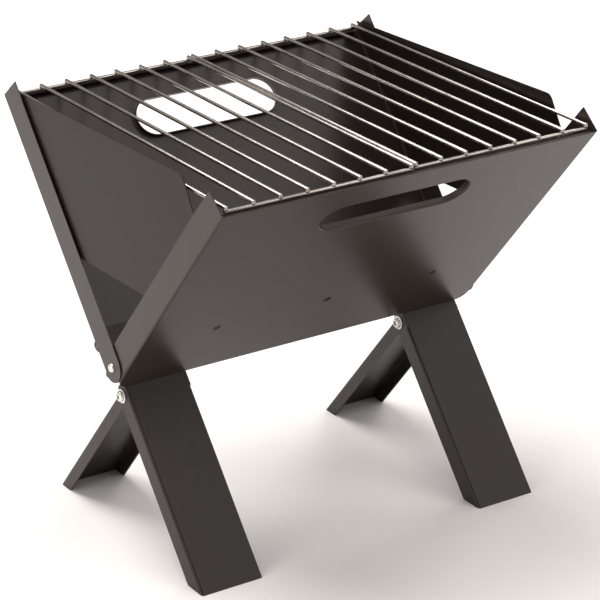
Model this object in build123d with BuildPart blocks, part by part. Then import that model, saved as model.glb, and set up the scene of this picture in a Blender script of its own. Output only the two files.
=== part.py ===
"""Folding camp grill: two flanged sheet panels hinged into a V on a pair of crossed folding legs.

Millimetres, +X to the right, front towards -Y, +Z up.  The origin is on the ground, midway
between the panels and midway along the width.  The rear panel and the front legs are one
rigid frame; the front panel turns on the panel pivots and the rear legs on the leg pivots.
"""

import os
from math import cos, radians, sin

from build123d import *

os.makedirs("parts", exist_ok=True)

# ---------------------------------------------------------------- driving dimensions
width = 400.0              # over the rear panel's side flanges
lean = 40.0                # each panel leans this far from the vertical, in degrees
pivot_height = 178.5       # panel pivots above the ground
panel_reach = 283.0        # from the pivots up the slope to a panel's top edge
sheet_offset = 15.0        # from the pivots out to a panel's outer face
panel_sheet = 1.0          # thickness of the panels and end walls
bend = 2.0                 # outside bend radius of the panels

rear_flange = 31.0         # depth of the rear panel's side flanges
front_flange = 28.4        # depth of the front panel's side flanges
front_half_width = 198.6   # the front panel's flanges run inside the rear panel's
rear_bottom = 12.0         # sheet edge below the pivots
front_bottom = 14.8        # the front edge comes to rest on the front legs' webs
lip = 11.0                 # depth of the level lip along each top edge
lip_half_length = 194.0

slot_below_top = 52.0      # centre line of the carry slots, down the slope
slot_length = 156.0
slot_height = 37.0
slot_collar = 6.0          # depth of the drawn collar round a slot
slot_round = 2.0           # rolled radius at the mouth of a slot
vent_below_top = 218.0
vent_pitch = 120.0
vent_radius = 4.0

leg_sheet = 1.5
leg_bend = 2.5
front_leg_inner = 123.0    # side faces of the front legs
front_leg_outer = 188.0
front_leg_web = -12.5      # outer face of the web, measured from the pivots
front_leg_edge = -31.5     # free edges of the front legs' flanges
front_leg_start = 12.5     # top of those flanges, below the pivots
tab_top = 42.0             # the web runs up inside the rear panel to here
tab_outer = 196.4
leg_gap = 0.5              # between nested leg flanges
rear_leg_depth = 13.7
rear_leg_stop = 16.8       # top of the rear leg's web, below the panel pivots
leg_pivot_down = 22.6      # leg pivots, down the front legs from the panel pivots
leg_pivot_in = -23.8
leg_pivot_to_web = 6.7     # from the leg pivots out to the rear legs' webs
bolt_columns = (132.0, 192.0)
bolt_rows = (27.0, 0.2)    # mounting bolts above the panel pivots, up the rear panel

end_wall_face = 197.2      # outer face of the end walls
wire_radius = 1.75
rail_radius = 1.75
wire_pitch = 26.9
wires_per_half = 8
half_gap = 5.7             # between the two halves' neighbouring wires, centre to centre
rail_reach = 185.5
wire_reach = 187.6
rest_clearance = 0.25      # under the rails

pivot_shank = 2.5
bolt_shank = 3.0
running = 0.08             # radial clearance round a pivot shank

# ---------------------------------------------------------------- frames on the slopes
s, c = sin(radians(lean)), cos(radians(lean))
pivot = Vector(0, 0, pivot_height)
rear_up, rear_in = Vector(0, s, c), Vector(0, -c, s)
front_up, front_in = Vector(0, -s, c), Vector(0, c, s)
leg_pivot = pivot - rear_up * leg_pivot_down + rear_in * leg_pivot_in
leg_pivot_below = (pivot - leg_pivot).dot(front_up)       # the same pivot, seen down the front slope
rear_web = (leg_pivot - pivot).dot(front_in) + leg_pivot_to_web


def slope_plane(up, inward, along=0.0, out=0.0):
    """Plane lying on a panel, local Y up the slope and local Z into the firebox."""
    return Plane(origin=pivot + up * along + inward * out, x_dir=up.cross(inward), z_dir=inward)


def across_plane(up, inward, along):
    """Plane across a slope at a distance up from the pivots, local Y into the firebox."""
    return Plane(origin=pivot + up * along, x_dir=inward.cross(up), z_dir=up)


def side_plane(up, x):
    """Plane facing +X at a distance along the width, local X up the slope."""
    return Plane(origin=pivot + Vector(x, 0, 0), x_dir=up, z_dir=(1, 0, 0))


def inward_of(plane, inward):
    """+1 where local Y of a side plane points into the firebox, -1 where it points out."""
    return 1.0 if plane.y_dir.dot(inward) > 0 else -1.0


def span_on(plane, low, high):
    """The span from low to high along the width, in a plane's own X."""
    return (low, high) if plane.x_dir.X > 0 else (-high, -low)


def span_at(side, low, high):
    """A span given for the right-hand side, taken to one side of the grill."""
    return (low, high) if side > 0 else (-high, -low)


rear, front = (rear_up, rear_in), (front_up, front_in)


def save(piece, label):
    piece.part.label = label
    export_step(piece.part, f"parts/{label}.step")


def collar_edges(part, plane, height):
    """Edges of the drawn slot that lie at one height above the panel's outer face."""
    reach = slot_length / 2 + slot_round + 4

    def on_collar(edge):
        spot = plane.to_local_coords(edge.center())
        on_level = abs(spot.Z - height) < 0.01
        return on_level and abs(spot.X) < reach and abs(spot.Y) < slot_height and edge.length > 20

    return part.edges().filter_by(on_collar)


def channel(low, high, web, edge, thick, radius):
    """U section in the open sketch: the web's outer face at web, the free edges at edge."""
    step = thick if edge > web else -thick
    with BuildLine() as outline:
        FilletPolyline((low, edge), (low, web), (high, web), (high, edge), radius=radius)
        Line((high, edge), (high - thick, edge))
        FilletPolyline((high - thick, edge), (high - thick, web + step), (low + thick, web + step),
                       (low + thick, edge), radius=radius - thick)
        Line((low + thick, edge), (low, edge))
    make_face(outline.edges())


# ---------------------------------------------------------------- the two panels
def flanged_panel(slope, half_width, flange, bottom, tip_cut):
    """A sheet with side flanges, a level top lip, a carry slot with a collar and three vents."""
    up, inward = slope
    relief = 3.0                    # the bends stop this far below the pivots
    rounding = 11.0                 # lower corners of the sheet
    knuckle_rise = 1.0              # centre of the flanges' rounded ends, above the pivots
    face = slope_plane(up, inward, out=-sheet_offset)
    slot_face = slope_plane(up, inward, panel_reach - slot_below_top, -sheet_offset)
    with BuildPart() as panel:
        with BuildSketch(across_plane(up, inward, -relief)):
            channel(-half_width, half_width, -sheet_offset, flange - sheet_offset, panel_sheet, bend)
        extrude(amount=panel_reach + relief)
        with BuildSketch(face):
            with Locations((0, (rounding - bottom) / 2)):
                tongue = Rectangle(2 * (half_width - bend), rounding + bottom)
            fillet(tongue.vertices().group_by(Axis.Y)[0], rounding)
        extrude(amount=panel_sheet)
        for x in (-half_width, half_width - panel_sheet):
            ear = side_plane(up, x)
            turn = inward_of(ear, inward)
            with BuildSketch(ear):
                with Locations((knuckle_rise, turn * (flange / 2 - sheet_offset))):
                    Circle(flange / 2)
                with Locations((flange / 2 - relief, turn * (flange / 2 - sheet_offset))):
                    Rectangle(flange, flange + 2, mode=Mode.SUBTRACT)
            extrude(amount=panel_sheet)
        if tip_cut > 0:
            ear = side_plane(up, 0)
            turn = inward_of(ear, inward)
            edge = flange - sheet_offset
            with BuildSketch(ear):
                with BuildLine():
                    Polyline((panel_reach - 42, turn * (edge + 1)), (panel_reach - 42, turn * edge),
                             (panel_reach, turn * (edge - tip_cut)),
                             (panel_reach + 1, turn * (edge - tip_cut)),
                             (panel_reach + 1, turn * (edge + 1)), close=True)
                make_face()
            extrude(amount=width, both=True, mode=Mode.SUBTRACT)
        top = pivot + up * panel_reach - inward * sheet_offset
        toward = 1 if inward.Y > 0 else -1
        with BuildSketch(Plane.YZ):
            with BuildLine():
                Polyline((top.Y, top.Z), (top.Y + toward * lip, top.Z),
                         (top.Y + toward * lip, top.Z - panel_sheet),
                         (top.Y + toward * 0.9, top.Z - panel_sheet), close=True)
            make_face()
        extrude(amount=lip_half_length, both=True)
        with BuildSketch(slot_face):
            SlotOverall(slot_length + 2 * panel_sheet, slot_height + 2 * panel_sheet)
        extrude(amount=slot_collar)
        with BuildSketch(slot_face):
            SlotOverall(slot_length, slot_height)
        extrude(amount=slot_collar, both=True, mode=Mode.SUBTRACT)
        fillet(collar_edges(panel, slot_face, panel_sheet), slot_round - panel_sheet)
        fillet(collar_edges(panel, slot_face, 0), slot_round)
        with BuildSketch(slope_plane(up, inward, panel_reach - vent_below_top, -sheet_offset)):
            with GridLocations(vent_pitch, 1, 3, 1):
                Circle(vent_radius)
        extrude(amount=sheet_offset, both=True, mode=Mode.SUBTRACT)
        with Locations(pivot):
            Cylinder(pivot_shank + running, 2 * width, rotation=(0, 90, 0), mode=Mode.SUBTRACT)
    return panel


rear_panel = flanged_panel(rear, width / 2, rear_flange, rear_bottom, 0)
with BuildPart() as rear_panel_drilled:
    add(rear_panel.part)
    for up_slope in bolt_rows:
        with BuildSketch(slope_plane(*rear, along=up_slope, out=-sheet_offset)):
            with Locations(*[(way * column, 0) for way in (-1, 1) for column in bolt_columns]):
                Circle(bolt_shank)
        extrude(amount=panel_sheet + 1, both=True, mode=Mode.SUBTRACT)
save(rear_panel_drilled, "rear_panel")

front_panel = flanged_panel(front, front_half_width, front_flange, front_bottom, 1.0)
save(front_panel, "front_panel")


# ---------------------------------------------------------------- legs
leg_run = 260.0            # drawn too long, then cut off level with the ground
sides = (("left", -1), ("right", 1))


corner_cut = 7.0           # taken off the front leg flanges' upper back corners
tab_start = -9.0           # the mounting tab widens above here
tab_corner = 6.0

for name, side in sides:
    section = across_plane(*rear, -front_leg_start)
    low, high = span_on(section, *span_at(side, front_leg_inner, front_leg_outer))
    web_face = slope_plane(*rear, out=front_leg_web - leg_sheet)
    web_low, web_high = span_at(side, front_leg_inner, front_leg_outer - leg_bend)
    tab_low, tab_high = span_at(side, front_leg_inner, tab_outer)
    with BuildPart() as front_leg:
        with BuildSketch(section):
            channel(low, high, front_leg_web, front_leg_edge, leg_sheet, leg_bend)
        extrude(amount=-leg_run)
        with BuildSketch(side_plane(rear_up, 0)):
            with Locations((-front_leg_start, front_leg_edge)):
                Rectangle(corner_cut * 2 ** 0.5, corner_cut * 2 ** 0.5, rotation=45)
        extrude(amount=width, both=True, mode=Mode.SUBTRACT)
        with BuildSketch(web_face):
            with Locations(((web_low + web_high) / 2, (tab_start - front_leg_start) / 2)):
                Rectangle(web_high - web_low, front_leg_start - tab_start + 20)
            with Locations(((tab_low + tab_high) / 2, (tab_top + tab_start) / 2)):
                tab = Rectangle(tab_high - tab_low, tab_top - tab_start)
            fillet(tab.vertices().group_by(Axis.Y)[-1], tab_corner)
        extrude(amount=leg_sheet)
        for row in bolt_rows:
            with BuildSketch(slope_plane(*rear, along=row, out=front_leg_web)):
                with Locations(*[(side * column, 0) for column in bolt_columns]):
                    Circle(bolt_shank)
            extrude(amount=2 * leg_sheet, both=True, mode=Mode.SUBTRACT)
        with Locations(leg_pivot):
            Cylinder(pivot_shank, 2 * width, rotation=(0, 90, 0), mode=Mode.SUBTRACT)
        split(bisect_by=Plane.XY, keep=Keep.TOP)
    save(front_leg, f"front_leg_{name}")

# A rear leg nests inside its front leg when it is folded.
nested_inner = front_leg_inner + leg_sheet + leg_gap
nested_outer = front_leg_outer - leg_sheet - leg_gap
web_lap = 10.0             # the plain web plate runs this far below the leg pivots

for name, side in sides:
    section = across_plane(*front, -leg_pivot_below)
    low, high = span_on(section, *span_at(side, nested_inner, nested_outer))
    web_face = slope_plane(*front, out=rear_web - leg_sheet)
    web_low, web_high = span_on(web_face, *span_at(side, nested_inner, nested_outer))
    web_top, web_foot = -rear_leg_stop, -leg_pivot_below - web_lap
    with BuildPart() as rear_leg:
        with BuildSketch(section):
            channel(low, high, rear_web, rear_web - rear_leg_depth, leg_sheet, leg_bend)
        extrude(amount=-leg_run)
        with BuildSketch(web_face):
            with Locations(((web_low + web_high) / 2, (web_top + web_foot) / 2)):
                Rectangle(web_high - web_low - 2 * leg_bend, web_top - web_foot)
        extrude(amount=leg_sheet)
        for x in (low, high - leg_sheet):
            knuckle = Plane(origin=(x, leg_pivot.Y, leg_pivot.Z), x_dir=front_up, z_dir=(1, 0, 0))
            with BuildSketch(knuckle):
                Circle(rear_leg_depth / 2)
            extrude(amount=leg_sheet)
        with Locations(leg_pivot):
            Cylinder(pivot_shank + running, 2 * width, rotation=(0, 90, 0), mode=Mode.SUBTRACT)
        split(bisect_by=Plane.XY, keep=Keep.TOP)
    save(rear_leg, f"rear_leg_{name}")


# ---------------------------------------------------------------- end walls
end_wall_outline = [       # (front to back, height), clockwise from the rear top corner
    (187.3, 394.4), (-126.0, 403.2), (-145.6, 371.5), (-160.1, 348.2), (-92.9, 270.6), (80.5, 265.5),
]
end_wall_corner = 9.0      # radius at the front top corner

for name, side in sides:
    low, high = span_at(side, end_wall_face - panel_sheet, end_wall_face)
    with BuildPart() as end_wall:
        with BuildSketch(Plane.YZ.offset(low)):
            with BuildLine():
                Polyline(*end_wall_outline, close=True)
            plate = make_face()
            fillet(plate.vertices().sort_by(Axis.Y)[-1], end_wall_corner)
        extrude(amount=high - low)
    save(end_wall, f"end_wall_{name}")


# ---------------------------------------------------------------- cooking grate, in two halves
lip_level = (pivot + rear_up * panel_reach - rear_in * sheet_offset).Z
rail_level = lip_level + rest_clearance + rail_radius
wire_level = rail_level + rail_radius + wire_radius
half_span = (wires_per_half - 1) * wire_pitch
placed = {"left": -0.8, "right": 0.8}      # the halves lie a little out of line, front to back


def rod(start, end, radius, end_round):
    """A straight round bar with eased ends."""
    line = end - start
    with BuildPart() as bar:
        with BuildSketch(Plane(origin=start, z_dir=line)):
            Circle(radius)
        extrude(amount=line.length)
        fillet(bar.edges().filter_by(GeomType.CIRCLE), end_round)
    return bar.part


for name, side in sides:
    first = side * half_gap / 2
    shift = placed[name]
    xs = [first + side * wire_pitch * i for i in range(wires_per_half)]
    with BuildPart() as wires:
        for x in xs:
            add(rod(Vector(x, shift - wire_reach, wire_level), Vector(x, shift + wire_reach, wire_level),
                    wire_radius, 0.9))
    save(wires, f"grate_{name}_wires")
    ends = sorted((first - side * wire_radius, first + side * (half_span + wire_radius)))
    with BuildPart() as rails:
        for y in (shift - rail_reach, shift + rail_reach):
            add(rod(Vector(ends[0], y, rail_level), Vector(ends[1], y, rail_level), rail_radius, 0.9))
    save(rails, f"grate_{name}_rails")


# ---------------------------------------------------------------- fasteners
def turned(origin, direction, profile):
    """A turned solid: profile is (radius, distance along direction) pairs, closed on its axis."""
    axis = Plane(origin=origin, z_dir=direction)
    with BuildPart() as piece:
        with BuildSketch(Plane(origin=origin, x_dir=axis.x_dir, z_dir=axis.y_dir * -1)):
            with BuildLine():
                Polyline(*profile, close=True)
            make_face()
        revolve(axis=Axis(origin, direction))
    return piece.part


def dome_side(radius, height):
    """A point half way up the outline of a spherical dome."""
    ball = (radius ** 2 + height ** 2) / (2 * height)
    return radius * 0.6, height - ball + (ball ** 2 - (radius * 0.6) ** 2) ** 0.5


def pin(origin, direction, head, shank, length, tail=None):
    """A shank under a domed head that stands on origin; a tail is a second dome at its far end."""
    axis = Plane(origin=origin, z_dir=direction)
    foot = -length
    with BuildPart() as piece:
        with BuildSketch(Plane(origin=origin, x_dir=axis.x_dir, z_dir=axis.y_dir * -1)):
            with BuildLine():
                if tail:
                    side_x, side_y = dome_side(*tail)
                    foot = -length - tail[1]
                    ThreePointArc((0, foot), (side_x, -length - side_y), (tail[0], -length))
                    Polyline((tail[0], -length), (shank, -length), (shank, 0), (head[0], 0))
                else:
                    Polyline((0, foot), (shank, foot), (shank, 0), (head[0], 0))
                ThreePointArc((head[0], 0), dome_side(*head), (0, head[1]))
                Line((0, head[1]), (0, foot))
            make_face()
        revolve(axis=Axis(origin, direction))
    return piece.part


def washer(origin, direction, outer, inner, thick):
    with BuildPart() as piece:
        with BuildSketch(Plane(origin=origin, z_dir=direction)):
            Circle(outer)
            Circle(inner, mode=Mode.SUBTRACT)
        extrude(amount=thick)
    return piece.part


def hex_nut(origin, direction, across_flats, bore, thick):
    with BuildPart() as piece:
        with BuildSketch(Plane(origin=origin, z_dir=direction)):
            RegularPolygon(across_flats / 2, 6, major_radius=False)
            Circle(bore, mode=Mode.SUBTRACT)
        extrude(amount=thick)
    return piece.part


def group(pieces, label):
    with BuildPart() as several:
        add(pieces)
    save(several, label)


# Panel pivots: a domed rivet through both flanges, closed over a washer inside.
rivet_head = (4.4, 2.4)
rivet_tail = (4.0, 1.4)
pivot_washer = (5.5, 1.0)
inner_face = front_half_width - panel_sheet
rivets, rivet_washers = [], []
for name, side in sides:
    out = Vector(side, 0, 0)
    head_seat = pivot + out * width / 2
    shank_length = width / 2 - inner_face + 0.3 + pivot_washer[1]
    rivets.append(pin(head_seat, out, rivet_head, pivot_shank, shank_length, rivet_tail))
    rivet_washers.append(washer(pivot + out * (inner_face - 0.3), out * -1, pivot_washer[0],
                                pivot_shank, pivot_washer[1]))
group(rivets, "panel_pivot_rivets")
group(rivet_washers, "panel_pivot_washers")

# Leg pivots: bolt, washer and nut through each pair of nested flanges.
bolt_head = (5.2, 3.4)
bolt_washer = (6.8, 1.2)
leg_nut_flats, leg_nut_thick = 8.0, 4.0
leg_bolts, leg_washers, leg_nuts = [], [], []
for name, side in sides:
    for face_x, way in ((front_leg_outer, side), (front_leg_inner, -side)):
        out = Vector(way, 0, 0)
        seat = Vector(side * face_x, leg_pivot.Y, leg_pivot.Z)
        nut_face = 2 * leg_sheet + leg_gap + 0.3
        leg_washers.append(washer(seat, out, bolt_washer[0], pivot_shank, bolt_washer[1]))
        leg_bolts.append(pin(seat + out * bolt_washer[1], out, bolt_head, pivot_shank,
                             bolt_washer[1] + nut_face + leg_nut_thick + 1.0))
        leg_nuts.append(hex_nut(seat - out * nut_face, out * -1, leg_nut_flats, pivot_shank,
                                leg_nut_thick))
group(leg_bolts, "leg_pivot_bolts")
group(leg_washers, "leg_pivot_washers")
group(leg_nuts, "leg_pivot_nuts")

# Mounting bolts: the front legs' tabs to the rear panel.  The upper row stands off on spacers
# behind wide washers; the lower row ends in black cap nuts.
mount_head = (4.8, 3.0)
mount_washer = (7.8, 1.2)
nut_flats, nut_thick = 10.0, 4.8
stack = sheet_offset + front_leg_web      # tab and sheet together
cap_radius, cap_length = 5.0, 10.5
spacer_radius, spacer_length = 5.5, 3.6
mount_bolts, mount_nuts, mount_washers, spacers, cap_nuts = [], [], [], [], []
upper_thread = spacer_length + mount_washer[1] + nut_thick + 2.2
for row, thread in zip(bolt_rows, (upper_thread, cap_length - 1.5)):
    for column in bolt_columns:
        for name, side in sides:
            seat = pivot + rear_up * row + rear_in * front_leg_web + Vector(side * column, 0, 0)
            back = seat - rear_in * stack
            mount_bolts.append(pin(seat, rear_in, mount_head, bolt_shank, stack + thread))
            if row == bolt_rows[0]:
                spacers.append(washer(back, rear_in * -1, spacer_radius, bolt_shank, spacer_length))
                ring = back - rear_in * spacer_length
                mount_washers.append(washer(ring, rear_in * -1, mount_washer[0], bolt_shank, mount_washer[1]))
                mount_nuts.append(hex_nut(ring - rear_in * mount_washer[1], rear_in * -1, nut_flats,
                                          bolt_shank, nut_thick))
            else:
                cap_nuts.append(turned(back, rear_in * -1,
                                       [(bolt_shank, 0), (cap_radius, 0), (cap_radius, cap_length - 1),
                                        (cap_radius - 1, cap_length), (0, cap_length),
                                        (0, cap_length - 1.5), (bolt_shank, cap_length - 1.5)]))
group(mount_bolts, "mounting_bolts")
group(mount_washers, "mounting_washers")
group(spacers, "mounting_spacers")
group(mount_nuts, "mounting_nuts")
group(cap_nuts, "mounting_cap_nuts")
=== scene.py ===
# %% [markdown]
# # A folding camp grill
#
# The grill is two bent sheet panels that hinge into a V, carried on crossed folding legs.  Two
# halves of a wire grate lie over the top.  The sheet parts come ready made from the CAD model,
# and keep their meshes.  In this lesson they get their coating, and the small bright parts that
# a close look rests on, the wires, rivets, bolts, washers and nuts, are modelled again by hand.

# %% Load the CAD model as a fixed frame
from math import cos, radians, sin

import bpy
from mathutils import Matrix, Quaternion, Vector


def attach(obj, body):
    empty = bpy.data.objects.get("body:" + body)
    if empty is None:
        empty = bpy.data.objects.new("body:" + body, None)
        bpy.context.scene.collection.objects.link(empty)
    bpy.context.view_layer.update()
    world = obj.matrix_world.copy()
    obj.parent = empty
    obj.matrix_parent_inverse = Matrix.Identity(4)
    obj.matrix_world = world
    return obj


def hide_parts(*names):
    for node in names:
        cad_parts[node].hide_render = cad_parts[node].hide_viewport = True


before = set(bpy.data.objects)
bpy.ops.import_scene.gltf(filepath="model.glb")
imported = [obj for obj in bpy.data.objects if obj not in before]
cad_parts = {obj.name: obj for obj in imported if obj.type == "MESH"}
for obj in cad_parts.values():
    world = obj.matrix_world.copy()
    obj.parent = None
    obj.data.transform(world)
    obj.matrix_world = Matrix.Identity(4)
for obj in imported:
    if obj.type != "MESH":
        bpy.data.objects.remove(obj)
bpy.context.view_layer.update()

# %% [markdown]
# ## Where things are
#
# Each panel leans 40 degrees from the vertical and starts at the panel pivots.  A point on a
# panel is easiest to give as a distance up the slope and a distance in, towards the firebox.
# The rear panel's two directions later place the mounting bolts and the leg pivots.

# %% The two slopes
MM = 0.001
LEAN = radians(40)
PIVOT = Vector((0, 0, 178.5 * MM))
REAR_UP, REAR_IN = Vector((0, sin(LEAN), cos(LEAN))), Vector((0, -cos(LEAN), sin(LEAN)))
LEG_DROP, LEG_OUT = 22.6 * MM, 23.8 * MM      # from the panel pivots to the leg pivots
PANEL_REACH, SHEET_OUT = 283 * MM, 15 * MM    # length of a panel; pivots out to its outer face
LEG_PIVOT = PIVOT - REAR_UP * LEG_DROP - REAR_IN * LEG_OUT
print("leg pivots at y %.4f, z %.4f" % (LEG_PIVOT.y, LEG_PIVOT.z))

# %% [markdown]
# ## Shader maths in plain expressions
#
# A material here is a small graph of nodes.  Wiring each Math node by hand hides what is being
# worked out, so one small class wraps a socket and turns + and * into Math nodes.  Colours
# can't pass through Math nodes without turning grey, so they are mixed with a Mix node instead.

# %% A socket that Python can calculate with
class Signal:
    """A socket that arithmetic works on: each operator adds one Math node to its tree."""

    def __init__(self, paint, socket):
        self.paint, self.socket = paint, socket

    def maths(self, operation, *values):
        return self.paint.node("ShaderNodeMath", {"operation": operation},
                               dict(enumerate(values)))

    def __add__(self, other): return self.maths("ADD", self, other)
    def __radd__(self, other): return self.maths("ADD", other, self)
    def __mul__(self, other): return self.maths("MULTIPLY", self, other)

    def ramp(self, low, high):
        """0 below low, 1 above high and smooth between them."""
        return self.paint.node("ShaderNodeMapRange", {"interpolation_type": "SMOOTHSTEP"},
                               {"Value": self, "From Min": low, "From Max": high})


class Paint:
    """A new material, with one method that adds any node."""

    def __init__(self, name, **fixed):
        self.material = bpy.data.materials.new(name)
        self.material.use_nodes = True
        self.tree = self.material.node_tree
        self.shader = self.tree.nodes["Principled BSDF"]
        for socket, value in fixed.items():
            self.shader.inputs[socket.replace("_", " ")].default_value = value
        self.place = self.node("ShaderNodeTexCoord", {}, {}, "Object")

    def node(self, kind, settings, values, output=0):
        """Add a node; settings are its options and values go to its input sockets."""
        made = self.tree.nodes.new(kind)
        for key, value in settings.items():
            setattr(made, key, value)
        for key, value in values.items():
            self.feed(made.inputs[key], value)
        return Signal(self, made.outputs[output])

    def feed(self, socket, value):
        if isinstance(value, Signal):
            self.tree.links.new(value.socket, socket)
        else:
            socket.default_value = value

    def noise(self, scale, detail=2.0, stretch=(1, 1, 1)):
        """Noise on the object's own coordinates, about 0 to 1; scale is blobs per metre."""
        spot = self.node("ShaderNodeMapping", {}, {"Vector": self.place, "Scale": stretch})
        return self.node("ShaderNodeTexNoise", {}, {"Vector": spot, "Scale": scale, "Detail": detail})

    def mix(self, factor, low, high):
        """A colour between two colours."""
        made = self.tree.nodes.new("ShaderNodeMix")
        made.data_type = "RGBA"
        for socket, value in ((made.inputs[0], factor), (made.inputs[6], low), (made.inputs[7], high)):
            self.feed(socket, value)
        return Signal(self, made.outputs[2])

    def bump(self, height, depth, strength):
        """Surface relief: depth is how high, in metres, a height of 1 stands."""
        return self.node("ShaderNodeBump", {},
                         {"Height": height, "Distance": depth, "Strength": strength})

    def use(self, **links):
        for socket, value in links.items():
            self.feed(self.shader.inputs[socket.replace("_", " ")], value)
        return self.material


print("shader helpers ready")

# %% [markdown]
# ## The coating on the sheet metal
#
# The panels, legs and end walls have a black-brown stoved powder coat.  It is satin, with a fine
# orange-peel grain that can be felt more than seen, and it is never quite even: the film is a
# little thicker and smoother in some places, and hands leave a faint bloom.  Two noises, the film
# and the wider bloom, drive both the colour and the roughness.  Two finer ones make the relief,
# and a fifth scatters a few pale specks.  Shine sets how strongly the coating reflects.  The end
# walls get a darker copy of the coat: that extra darkness is painted shade, for the shade they stand
# in.

# %% Mix the coatings
def coating(name, dark, light, rough, shine):
    paint = Paint(name, Metallic=0.0, Specular_IOR_Level=shine)
    bloom = paint.noise(9, 4).ramp(0.3, 0.75)
    film = paint.noise(130, 3).ramp(0.25, 0.8)
    fine = paint.noise(1500, 2)
    peel = paint.noise(420, 2)
    specks = paint.noise(900, 1).ramp(0.6, 0.75)
    colour = paint.mix(bloom * 0.6 + film * 0.4, (*dark, 1), (*light, 1))
    colour = paint.mix(specks * 0.12, colour, (0.16, 0.145, 0.135, 1))
    roughness = rough - 0.03 + film * 0.04 + bloom * 0.02
    relief = paint.bump(fine * 0.6 + peel * 0.4, 0.00008, 0.55)
    return paint.use(Base_Color=colour, Roughness=roughness, Normal=relief)


front_coat = coating("front_panel_coat", dark=(0.026, 0.0185, 0.0155), light=(0.036, 0.0265, 0.0225),
                     rough=0.34, shine=0.36)
rear_coat = coating("rear_panel_coat", dark=(0.021, 0.0152, 0.013), light=(0.030, 0.0225, 0.019),
                    rough=0.30, shine=0.40)
leg_coat = coating("leg_coat", dark=(0.016, 0.0117, 0.0098), light=(0.023, 0.017, 0.0142),
                   rough=0.36, shine=0.29)
# The end walls' colours are darker than the other coats: painted shade, for the shade between the
# panels where the walls sit.
painted_shade_wall_coat = coating("end_wall_coat_painted_shade", dark=(0.012, 0.0088, 0.0075), light=(0.018, 0.0132, 0.0112),
                    rough=0.36, shine=0.18)
print("coatings:", [m.name for m in (front_coat, rear_coat, leg_coat, painted_shade_wall_coat)])

# %% [markdown]
# ## Bright metal
#
# The grate is plated wire, drawn lengthways, so its faint lines run along it, and it is stained a
# little darker in patches.  The fasteners are zinc plated: paler, a little yellow, and slightly
# dull.  The lower mounting nuts wear black caps.

# %% Mix the metals
def plated(name, dark, light, rough, stretch, relief_depth):
    paint = Paint(name, Metallic=1.0)
    drawn = paint.noise(260, 3, stretch)
    stain = paint.noise(45, 3).ramp(0.35, 0.75)
    colour = paint.mix(stain * 0.7 + drawn * 0.3, (*light, 1), (*dark, 1))
    return paint.use(Base_Color=colour, Roughness=rough + drawn * 0.10 + stain * 0.06,
                     Normal=paint.bump(drawn, relief_depth, 0.35))


PLATE_DARK, PLATE_LIGHT = (0.27, 0.245, 0.225), (0.56, 0.53, 0.49)
PLATE_ROUGH, PLATE_RELIEF = 0.17, 0.00003
wire_plate = plated("wire_plating", PLATE_DARK, PLATE_LIGHT, PLATE_ROUGH, (8, 0.15, 8), PLATE_RELIEF)
rail_plate = plated("rail_plating", PLATE_DARK, PLATE_LIGHT, PLATE_ROUGH, (0.15, 8, 8), PLATE_RELIEF)
zinc = plated("zinc_plating", dark=(0.52, 0.51, 0.47), light=(0.86, 0.85, 0.82), rough=0.30,
              stretch=(4, 4, 4), relief_depth=0.00002)


def cap_gloss():
    paint = Paint("black_cap", Metallic=0.0)
    scuff = paint.noise(300, 3).ramp(0.4, 0.8)
    return paint.use(Base_Color=paint.mix(scuff, (0.012, 0.011, 0.010, 1), (0.024, 0.021, 0.020, 1)),
                     Roughness=0.26 + scuff * 0.14, Normal=paint.bump(scuff, 0.00003, 0.3))


cap_black = cap_gloss()
print("metals:", [m.name for m in (wire_plate, rail_plate, zinc, cap_black)])

# %% Give the CAD parts their coatings
coats = {
    "front_panel": front_coat, "rear_panel": rear_coat,
    "front_leg_left": leg_coat, "front_leg_right": leg_coat,
    "rear_leg_left": leg_coat, "rear_leg_right": leg_coat,
    "end_wall_left": painted_shade_wall_coat, "end_wall_right": painted_shade_wall_coat,
}
for name, coat in coats.items():
    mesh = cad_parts[name].data
    mesh.materials.clear()
    mesh.materials.append(coat)
print("coated", len(coats), "CAD parts")

# %% [markdown]
# ## Tools for modelling by hand
#
# Everything new starts as a primitive at the world's origin, standing along Z.  Edit-mode operators
# work on whatever is selected, so faces and edges are picked in code, by where they are.  When a
# piece is done it is copied to each of its places, each copy with its own mesh, and the copies are
# joined, with their place kept in the mesh and the object itself left at the origin.

# %% Picking, shaping and placing
def clear_selection():
    bpy.ops.object.select_all(action="DESELECT")


def pick(obj, kind, test):
    """In edit mode, select only the faces or edges whose centre passes the test."""
    bpy.ops.mesh.select_mode(type=kind)
    bpy.ops.mesh.select_all(action="DESELECT")
    bpy.ops.object.mode_set(mode="OBJECT")
    points = obj.data.vertices
    for part in (obj.data.polygons if kind == "FACE" else obj.data.edges):
        corners = [points[i].co for i in part.vertices]
        part.select = test(corners)
    bpy.ops.object.mode_set(mode="EDIT")


def on_level(height, least=0.0):
    """A test for parts that lie at one height and, if wanted, not on the axis."""
    def test(corners):
        flat = all(abs(c.z - height) < 1e-6 for c in corners)
        return flat and all((c.x ** 2 + c.y ** 2) ** 0.5 > least for c in corners)
    return test


def bar(radius, low, high, sides=32):
    """A cylinder along Z between two heights, in edit mode."""
    clear_selection()
    bpy.ops.mesh.primitive_cylinder_add(vertices=sides, radius=radius, depth=high - low,
                                        location=(0, 0, (low + high) / 2))
    obj = bpy.context.object
    bpy.ops.object.transform_apply(location=True, rotation=True, scale=True)
    bpy.ops.object.mode_set(mode="EDIT")
    return obj


def soften(obj, height, amount, steps):
    """Round the rim of a bar at one height."""
    pick(obj, "EDGE", on_level(height))
    bpy.ops.mesh.bevel(offset=amount, segments=steps)


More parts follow.
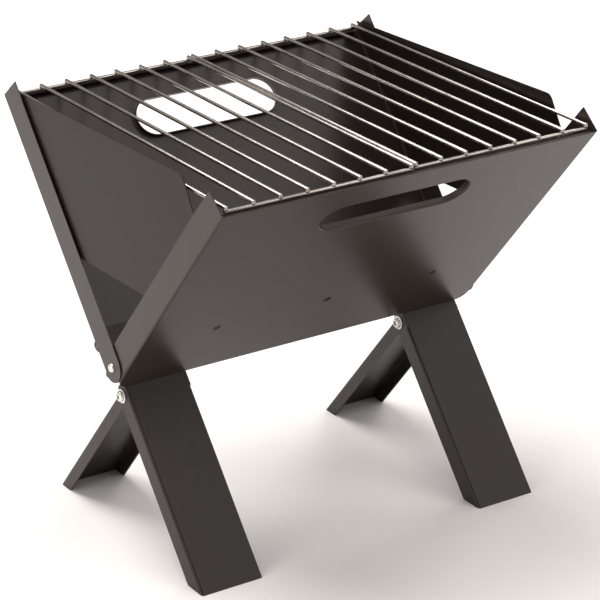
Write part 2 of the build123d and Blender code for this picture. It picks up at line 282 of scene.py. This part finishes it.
def modifier(obj, kind, **settings):
    """Add a modifier and apply it at once."""
    bpy.context.view_layer.objects.active = obj
    made = obj.modifiers.new(kind.title(), kind)
    for key, value in settings.items():
        setattr(made, key, value)
    bpy.ops.object.modifier_apply(modifier=made.name)


def cut(obj, tool, operation="DIFFERENCE"):
    """Boolean with a tool, which is used up."""
    modifier(obj, "BOOLEAN", object=tool, operation=operation, solver="EXACT")
    bpy.data.objects.remove(tool)


def joined(name, objs):
    """Several objects as one, under a new name."""
    clear_selection()
    for obj in objs:
        obj.select_set(True)
    bpy.context.view_layer.objects.active = objs[0]
    if len(objs) > 1:
        bpy.ops.object.join()
    made = bpy.context.object
    made.name = made.data.name = name
    return made


def copies(name, master, places):
    """Copies of a master at (point, direction, turn) places, joined; the master is used up."""
    made = []
    for point, direction, turn in places:
        clear_selection()
        master.select_set(True)
        bpy.context.view_layer.objects.active = master
        bpy.ops.object.duplicate(linked=False)
        copy = bpy.context.object
        copy.rotation_mode = "QUATERNION"
        copy.rotation_quaternion = (Vector(direction).to_track_quat("Z", "Y")
                                    @ Quaternion((0, 0, 1), radians(turn)))
        copy.location = point
        bpy.ops.object.transform_apply(location=True, rotation=True, scale=True)
        made.append(copy)
    bpy.data.objects.remove(master)
    return joined(name, made)


def finished(obj, material, body, slot, *nodes):
    """Smooth the piece, coat it, fix it to its body and hide the CAD nodes it stands for."""
    clear_selection()
    obj.select_set(True)
    bpy.context.view_layer.objects.active = obj
    bpy.ops.object.shade_smooth_by_angle(angle=radians(35))
    obj.data.materials.clear()
    obj.data.materials.append(material)
    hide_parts(*nodes)
    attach(obj, body)
    print(obj.name, len(obj.data.polygons), "faces on", body)

# %% [markdown]
# ## The grate
#
# Each half is eight straight wires laid across two rails and resistance welded to them, which
# leaves a small bulge at each crossing.  One wire is modelled, its ends rounded as they are after
# plating, with a bead at each rail, and is then copied along the half.  The two halves are placed
# by hand on the real grill, so one sits a hair further back than the other.

# %% Sizes of the grate
WIRE, PITCH, PER_HALF, GAP = 1.75 * MM, 26.9 * MM, 8, 5.7 * MM
RAIL_REACH, WIRE_REACH = 185.5 * MM, 187.6 * MM
LEDGE = (PIVOT + REAR_UP * PANEL_REACH - REAR_IN * SHEET_OUT).z
REST_GAP, SHIFT = 0.25 * MM, 0.8 * MM         # rails above the ledge; each half's own offset
RAIL_LEVEL = LEDGE + REST_GAP + WIRE
WIRE_LEVEL = RAIL_LEVEL + 2 * WIRE
print("rails at height %.4f, wires at %.4f" % (RAIL_LEVEL, WIRE_LEVEL))


# %% One wire with its weld beads, one rail, and the two halves
def rod(reach):
    piece = bar(WIRE, -reach, reach, 18)
    soften(piece, reach, 0.9 * MM, 3)
    soften(piece, -reach, 0.9 * MM, 3)
    bpy.ops.object.mode_set(mode="OBJECT")
    return piece


def bead(along):
    """The flattened bulge of a weld, between a wire and the rail under it."""
    bpy.ops.mesh.primitive_uv_sphere_add(segments=16, ring_count=10, radius=2.15 * MM,
                                         location=(0, -1.3 * MM, along))
    piece = bpy.context.object
    piece.scale = (1.0, 0.95, 1.2)
    bpy.ops.object.transform_apply(location=True, rotation=True, scale=True)
    return piece


for side, name, shift in ((-1, "left", -SHIFT), (1, "right", SHIFT)):
    wire = rod(WIRE_REACH)
    wire = joined("wire", [wire, bead(RAIL_REACH), bead(-RAIL_REACH)])
    first = side * GAP / 2
    places = [((first + side * PITCH * i, shift, WIRE_LEVEL), (0, 1, 0), 0) for i in range(PER_HALF)]
    wires = copies(f"grate_{name}_bright_wires", wire, places)
    finished(wires, wire_plate, f"grate_{name}", "wire", f"grate_{name}_wires")
    span = PITCH * (PER_HALF - 1) / 2
    rail = rod(span + WIRE)
    middle = first + side * span
    places = [((middle, shift + y, RAIL_LEVEL), (1, 0, 0), 0) for y in (-RAIL_REACH, RAIL_REACH)]
    rails = copies(f"grate_{name}_bright_rails", rail, places)
    finished(rails, rail_plate, f"grate_{name}", "wire", f"grate_{name}_rails")

# %% [markdown]
# ## Bolts, nuts, washers and rivets
#
# Each kind of fastener is modelled once, standing on the origin with its head up.  A bolt's head is
# a short cylinder with a well rounded rim and a hexagon cut into it; its thread is made by
# extruding the end face down in small steps, in and out.  A nut is a hexagon whose corners are
# turned off by a round blank.  A washer is a disc whose two faces are inset and bridged.


# %% How each fastener is made
def step_end(drop, scale):
    """Extrude the selected end face down and resize it."""
    bpy.ops.mesh.extrude_region_move(TRANSFORM_OT_translate={"value": (0, 0, -drop)})
    bpy.ops.transform.resize(value=(scale, scale, 1))


def bolt(head_radius, head_height, shank, reach, threads):
    """A button head bolt with a hexagon socket; its head stands on the origin."""
    head = bar(head_radius, 0, head_height, 40)
    soften(head, head_height, head_height * 0.72, 6)
    soften(head, 0, 0.2 * MM, 2)
    bpy.ops.object.mode_set(mode="OBJECT")
    socket = bar(head_radius * 0.52, head_height * 0.35, head_height * 1.5, 6)
    bpy.ops.object.mode_set(mode="OBJECT")
    cut(head, socket)
    pitch, root, run_out, into_head = 0.8 * MM, 0.87, 0.5 * MM, 0.3 * MM
    plain_end = -reach + threads * pitch + run_out
    stem = bar(shank, plain_end, into_head, 28)
    pick(stem, "FACE", on_level(plain_end))
    for _ in range(threads):
        step_end(pitch / 2, root)
        step_end(pitch / 2, 1 / root)
    step_end(run_out, 0.82)
    bpy.ops.object.mode_set(mode="OBJECT")
    cut(head, stem, "UNION")
    return head


def nut(flats, thick):
    """A hexagon nut lying on the origin, its corners turned off at both faces."""
    body = bar(flats / 2 / cos(radians(30)), 0, thick, 6)
    bpy.ops.object.mode_set(mode="OBJECT")
    blank = bar(flats * 0.572, 0, thick, 60)
    soften(blank, thick, flats * 0.07, 2)
    soften(blank, 0, flats * 0.07, 2)
    bpy.ops.object.mode_set(mode="OBJECT")
    cut(body, blank, "INTERSECT")
    return body


def washer(radius, bore, thick):
    """A flat ring lying on the origin, with its outer rims eased."""
    ring = bar(radius, 0, thick, 44)
    pick(ring, "FACE", lambda c: on_level(0)(c) or on_level(thick)(c))
    bpy.ops.mesh.inset(thickness=radius - bore)
    bpy.ops.mesh.bridge_edge_loops()
    for level in (0, thick):
        pick(ring, "EDGE", on_level(level, radius - 0.01 * MM))
        bpy.ops.mesh.bevel(offset=0.25 * MM, segments=2)
    bpy.ops.object.mode_set(mode="OBJECT")
    return ring


def rivet(head, tail, shank, length):
    """A domed rivet: its head stands on the origin, its closed tail is a second, lower dome."""
    piece = bar(head[0], 0, head[1], 40)
    soften(piece, head[1], head[1] * 0.95, 8)
    pick(piece, "FACE", on_level(0))
    bpy.ops.mesh.inset(thickness=head[0] - shank)
    step_end(length, 1.0)
    step_end(0.0, tail[0] / shank)
    step_end(tail[1], 1.0)
    bpy.ops.mesh.bevel(offset=tail[1] * 0.8, segments=5)
    bpy.ops.object.mode_set(mode="OBJECT")
    return piece


def cap(radius, length):
    """A domed plastic cap over a nut, with a thin skirt at its foot."""
    skirt = 1.2 * MM
    piece = bar(radius, 0, skirt, 40)
    soften(piece, skirt, 0.25 * MM, 2)
    pick(piece, "FACE", on_level(skirt))
    bpy.ops.mesh.inset(thickness=0.35 * MM)
    step_end(-(length - skirt), 1.0)
    bpy.ops.mesh.bevel(offset=2.4 * MM, segments=7)
    bpy.ops.object.mode_set(mode="OBJECT")
    return piece


# %% Panel pivots: a rivet and an inner washer on each side
SIDES = (-1, 1)
PIVOT_SHANK, MOUNT_SHANK = 2.5 * MM, 3.0 * MM      # radii
WASHER_THICK = 1.2 * MM
OUTER_FACE, INNER_FACE = 200 * MM, 197.3 * MM      # of the nested flanges, from the middle
places = [(PIVOT + Vector((side * OUTER_FACE, 0, 0)), (side, 0, 0), 0) for side in SIDES]
one_rivet = rivet((4.4 * MM, 2.4 * MM), (4.0 * MM, 1.4 * MM), PIVOT_SHANK, 3.7 * MM)
rivets = copies("pivot_rivets_bright", one_rivet, places)
finished(rivets, zinc, "frame", "zinc", "panel_pivot_rivets")
places = [(PIVOT + Vector((side * INNER_FACE, 0, 0)), (-side, 0, 0), 0) for side in SIDES]
rings = copies("pivot_washers_bright", washer(5.5 * MM, PIVOT_SHANK, 1.0 * MM), places)
finished(rings, zinc, "frame", "zinc", "panel_pivot_washers")

# %% Leg pivots: bolt, washer and nut through each nested pair of flanges
LEG_FAR_FACE, LEG_NEAR_FACE, LEG_GRIP = 188 * MM, 123 * MM, 3.8 * MM
seats = [(side * face, way) for side in SIDES
         for face, way in ((LEG_FAR_FACE, side), (LEG_NEAR_FACE, -side))]
points = [(Vector((x, LEG_PIVOT.y, LEG_PIVOT.z)), Vector((way, 0, 0))) for x, way in seats]
turns = (10, 35, 50, 22)
places = [(p + d * WASHER_THICK, d, t) for (p, d), t in zip(points, turns)]
finished(copies("leg_bolts_bright", bolt(5.2 * MM, 3.4 * MM, PIVOT_SHANK, 10.0 * MM, 5), places),
         zinc, "frame", "zinc", "leg_pivot_bolts")
places = [(p, d, 0) for p, d in points]
finished(copies("leg_washers_bright", washer(6.8 * MM, PIVOT_SHANK, WASHER_THICK), places),
         zinc, "frame", "zinc", "leg_pivot_washers")
places = [(p - d * LEG_GRIP, -d, t) for (p, d), t in zip(points, turns)]
finished(copies("leg_nuts_bright", nut(8.0 * MM, 4.0 * MM), places),
         zinc, "frame", "zinc", "leg_pivot_nuts")


# %% Mounting bolts: the front legs' tabs to the rear panel
TAB_FACE, TAB_COLUMNS = 12.5 * MM, (132, 192)
UPPER_ROW, LOWER_ROW = 27.0, 0.2
STACK, SPACER = 2.5 * MM, 3.6 * MM                 # tab and sheet together; length of a spacer


def tab_seats(row):
    """Four points on the tabs' inner face, at one distance up the slope, in millimetres."""
    return [PIVOT + REAR_UP * row * MM - REAR_IN * TAB_FACE + Vector((side * column * MM, 0, 0))
            for side in SIDES for column in TAB_COLUMNS]


upper, lower = tab_seats(UPPER_ROW), tab_seats(LOWER_ROW)
places = [(p, REAR_IN, t) for p, t in zip(upper, (5, 40, 20, 50))]
long_bolts = copies("long_bolts", bolt(4.8 * MM, 3.0 * MM, MOUNT_SHANK, 14.3 * MM, 9), places)
places = [(p, REAR_IN, t) for p, t in zip(lower, (15, 30, 45, 0))]
short_bolts = copies("short_bolts", bolt(4.8 * MM, 3.0 * MM, MOUNT_SHANK, 11.5 * MM, 5), places)
finished(joined("mounting_bolts_bright", [long_bolts, short_bolts]),
         zinc, "frame", "zinc", "mounting_bolts")
places = [(p - REAR_IN * STACK, -REAR_IN, 0) for p in upper]
finished(copies("mounting_spacers_bright", washer(5.5 * MM, MOUNT_SHANK, SPACER), places),
         zinc, "frame", "zinc", "mounting_spacers")
places = [(p - REAR_IN * (STACK + SPACER), -REAR_IN, 0) for p in upper]
finished(copies("mounting_washers_bright", washer(7.8 * MM, MOUNT_SHANK, WASHER_THICK), places),
         zinc, "frame", "zinc", "mounting_washers")
places = [(p - REAR_IN * (STACK + SPACER + WASHER_THICK), -REAR_IN, t)
          for p, t in zip(upper, (0, 25, 10, 40))]
finished(copies("mounting_nuts_bright", nut(10.0 * MM, 4.8 * MM), places),
         zinc, "frame", "zinc", "mounting_nuts")
places = [(p - REAR_IN * STACK, -REAR_IN, 0) for p in lower]
finished(copies("mounting_caps_black", cap(5.0 * MM, 10.5 * MM), places), cap_black, "frame", "cap",
         "mounting_cap_nuts")

# %% [markdown]
# ## The studio
#
# The grill stands on a plain pale floor.  Dark satin paint shows mostly what it reflects: the front
# panel faces down towards the floor, so it picks up the floor's brightness.  The legs and the
# firebox face up and forwards, so the one lamp on that side is wide and weak, and the strongest
# lamp stands overhead, towards the back.

# %% Floor, sky and lamps
clear_selection()
bpy.ops.mesh.primitive_plane_add(size=14, location=(0, 0, 0))
floor = bpy.context.object
floor.name = "studio_floor"
floor_paint = Paint("floor_paint", Metallic=0.0, Roughness=0.9)
floor.data.materials.append(floor_paint.use(Base_Color=(0.93, 0.93, 0.93, 1)))

world = bpy.context.scene.world or bpy.data.worlds.new("studio")
bpy.context.scene.world = world
world.use_nodes = True
world.node_tree.nodes["Background"].inputs["Color"].default_value = (1.0, 0.94, 0.90, 1)
world.node_tree.nodes["Background"].inputs["Strength"].default_value = 0.36
bpy.context.scene.view_settings.view_transform = "Standard"


def lamp(name, place, aim, size, power):
    """A square soft light at a place, turned towards a point."""
    data = bpy.data.lights.new(name, "AREA")
    data.size, data.energy, data.color = size, power, (1.0, 0.945, 0.905)
    obj = bpy.data.objects.new(name, data)
    bpy.context.scene.collection.objects.link(obj)
    obj.location = place
    obj.rotation_euler = (Vector(aim) - Vector(place)).to_track_quat("-Z", "Y").to_euler()


lamp("overhead", (-0.5, 1.0, 2.6), (0, 0, 0), 2.0, 78)
lamp("left_bank", (-2.7, -0.4, 1.0), (0, 0, 0.2), 1.6, 22)
lamp("right_back_bank", (2.4, 1.4, 1.4), (0, 0, 0.2), 1.6, 30)
lamp("right_front_bank", (1.7, -1.7, 2.3), (0, 0, 0.2), 2.4, 29)
print("floor and four lamps")

# %% The camera
camera_data = bpy.data.cameras.new("camera")
camera_data.lens, camera_data.sensor_width = 155.9, 36
camera = bpy.data.objects.new("camera", camera_data)
bpy.context.scene.collection.objects.link(camera)
camera.location = (-1.24224, -1.89579, 1.15074)
camera.rotation_euler = (radians(90 - 22.77), 0, radians(-33.34))
bpy.context.scene.camera = camera
print("camera at", [round(v, 3) for v in camera.location])
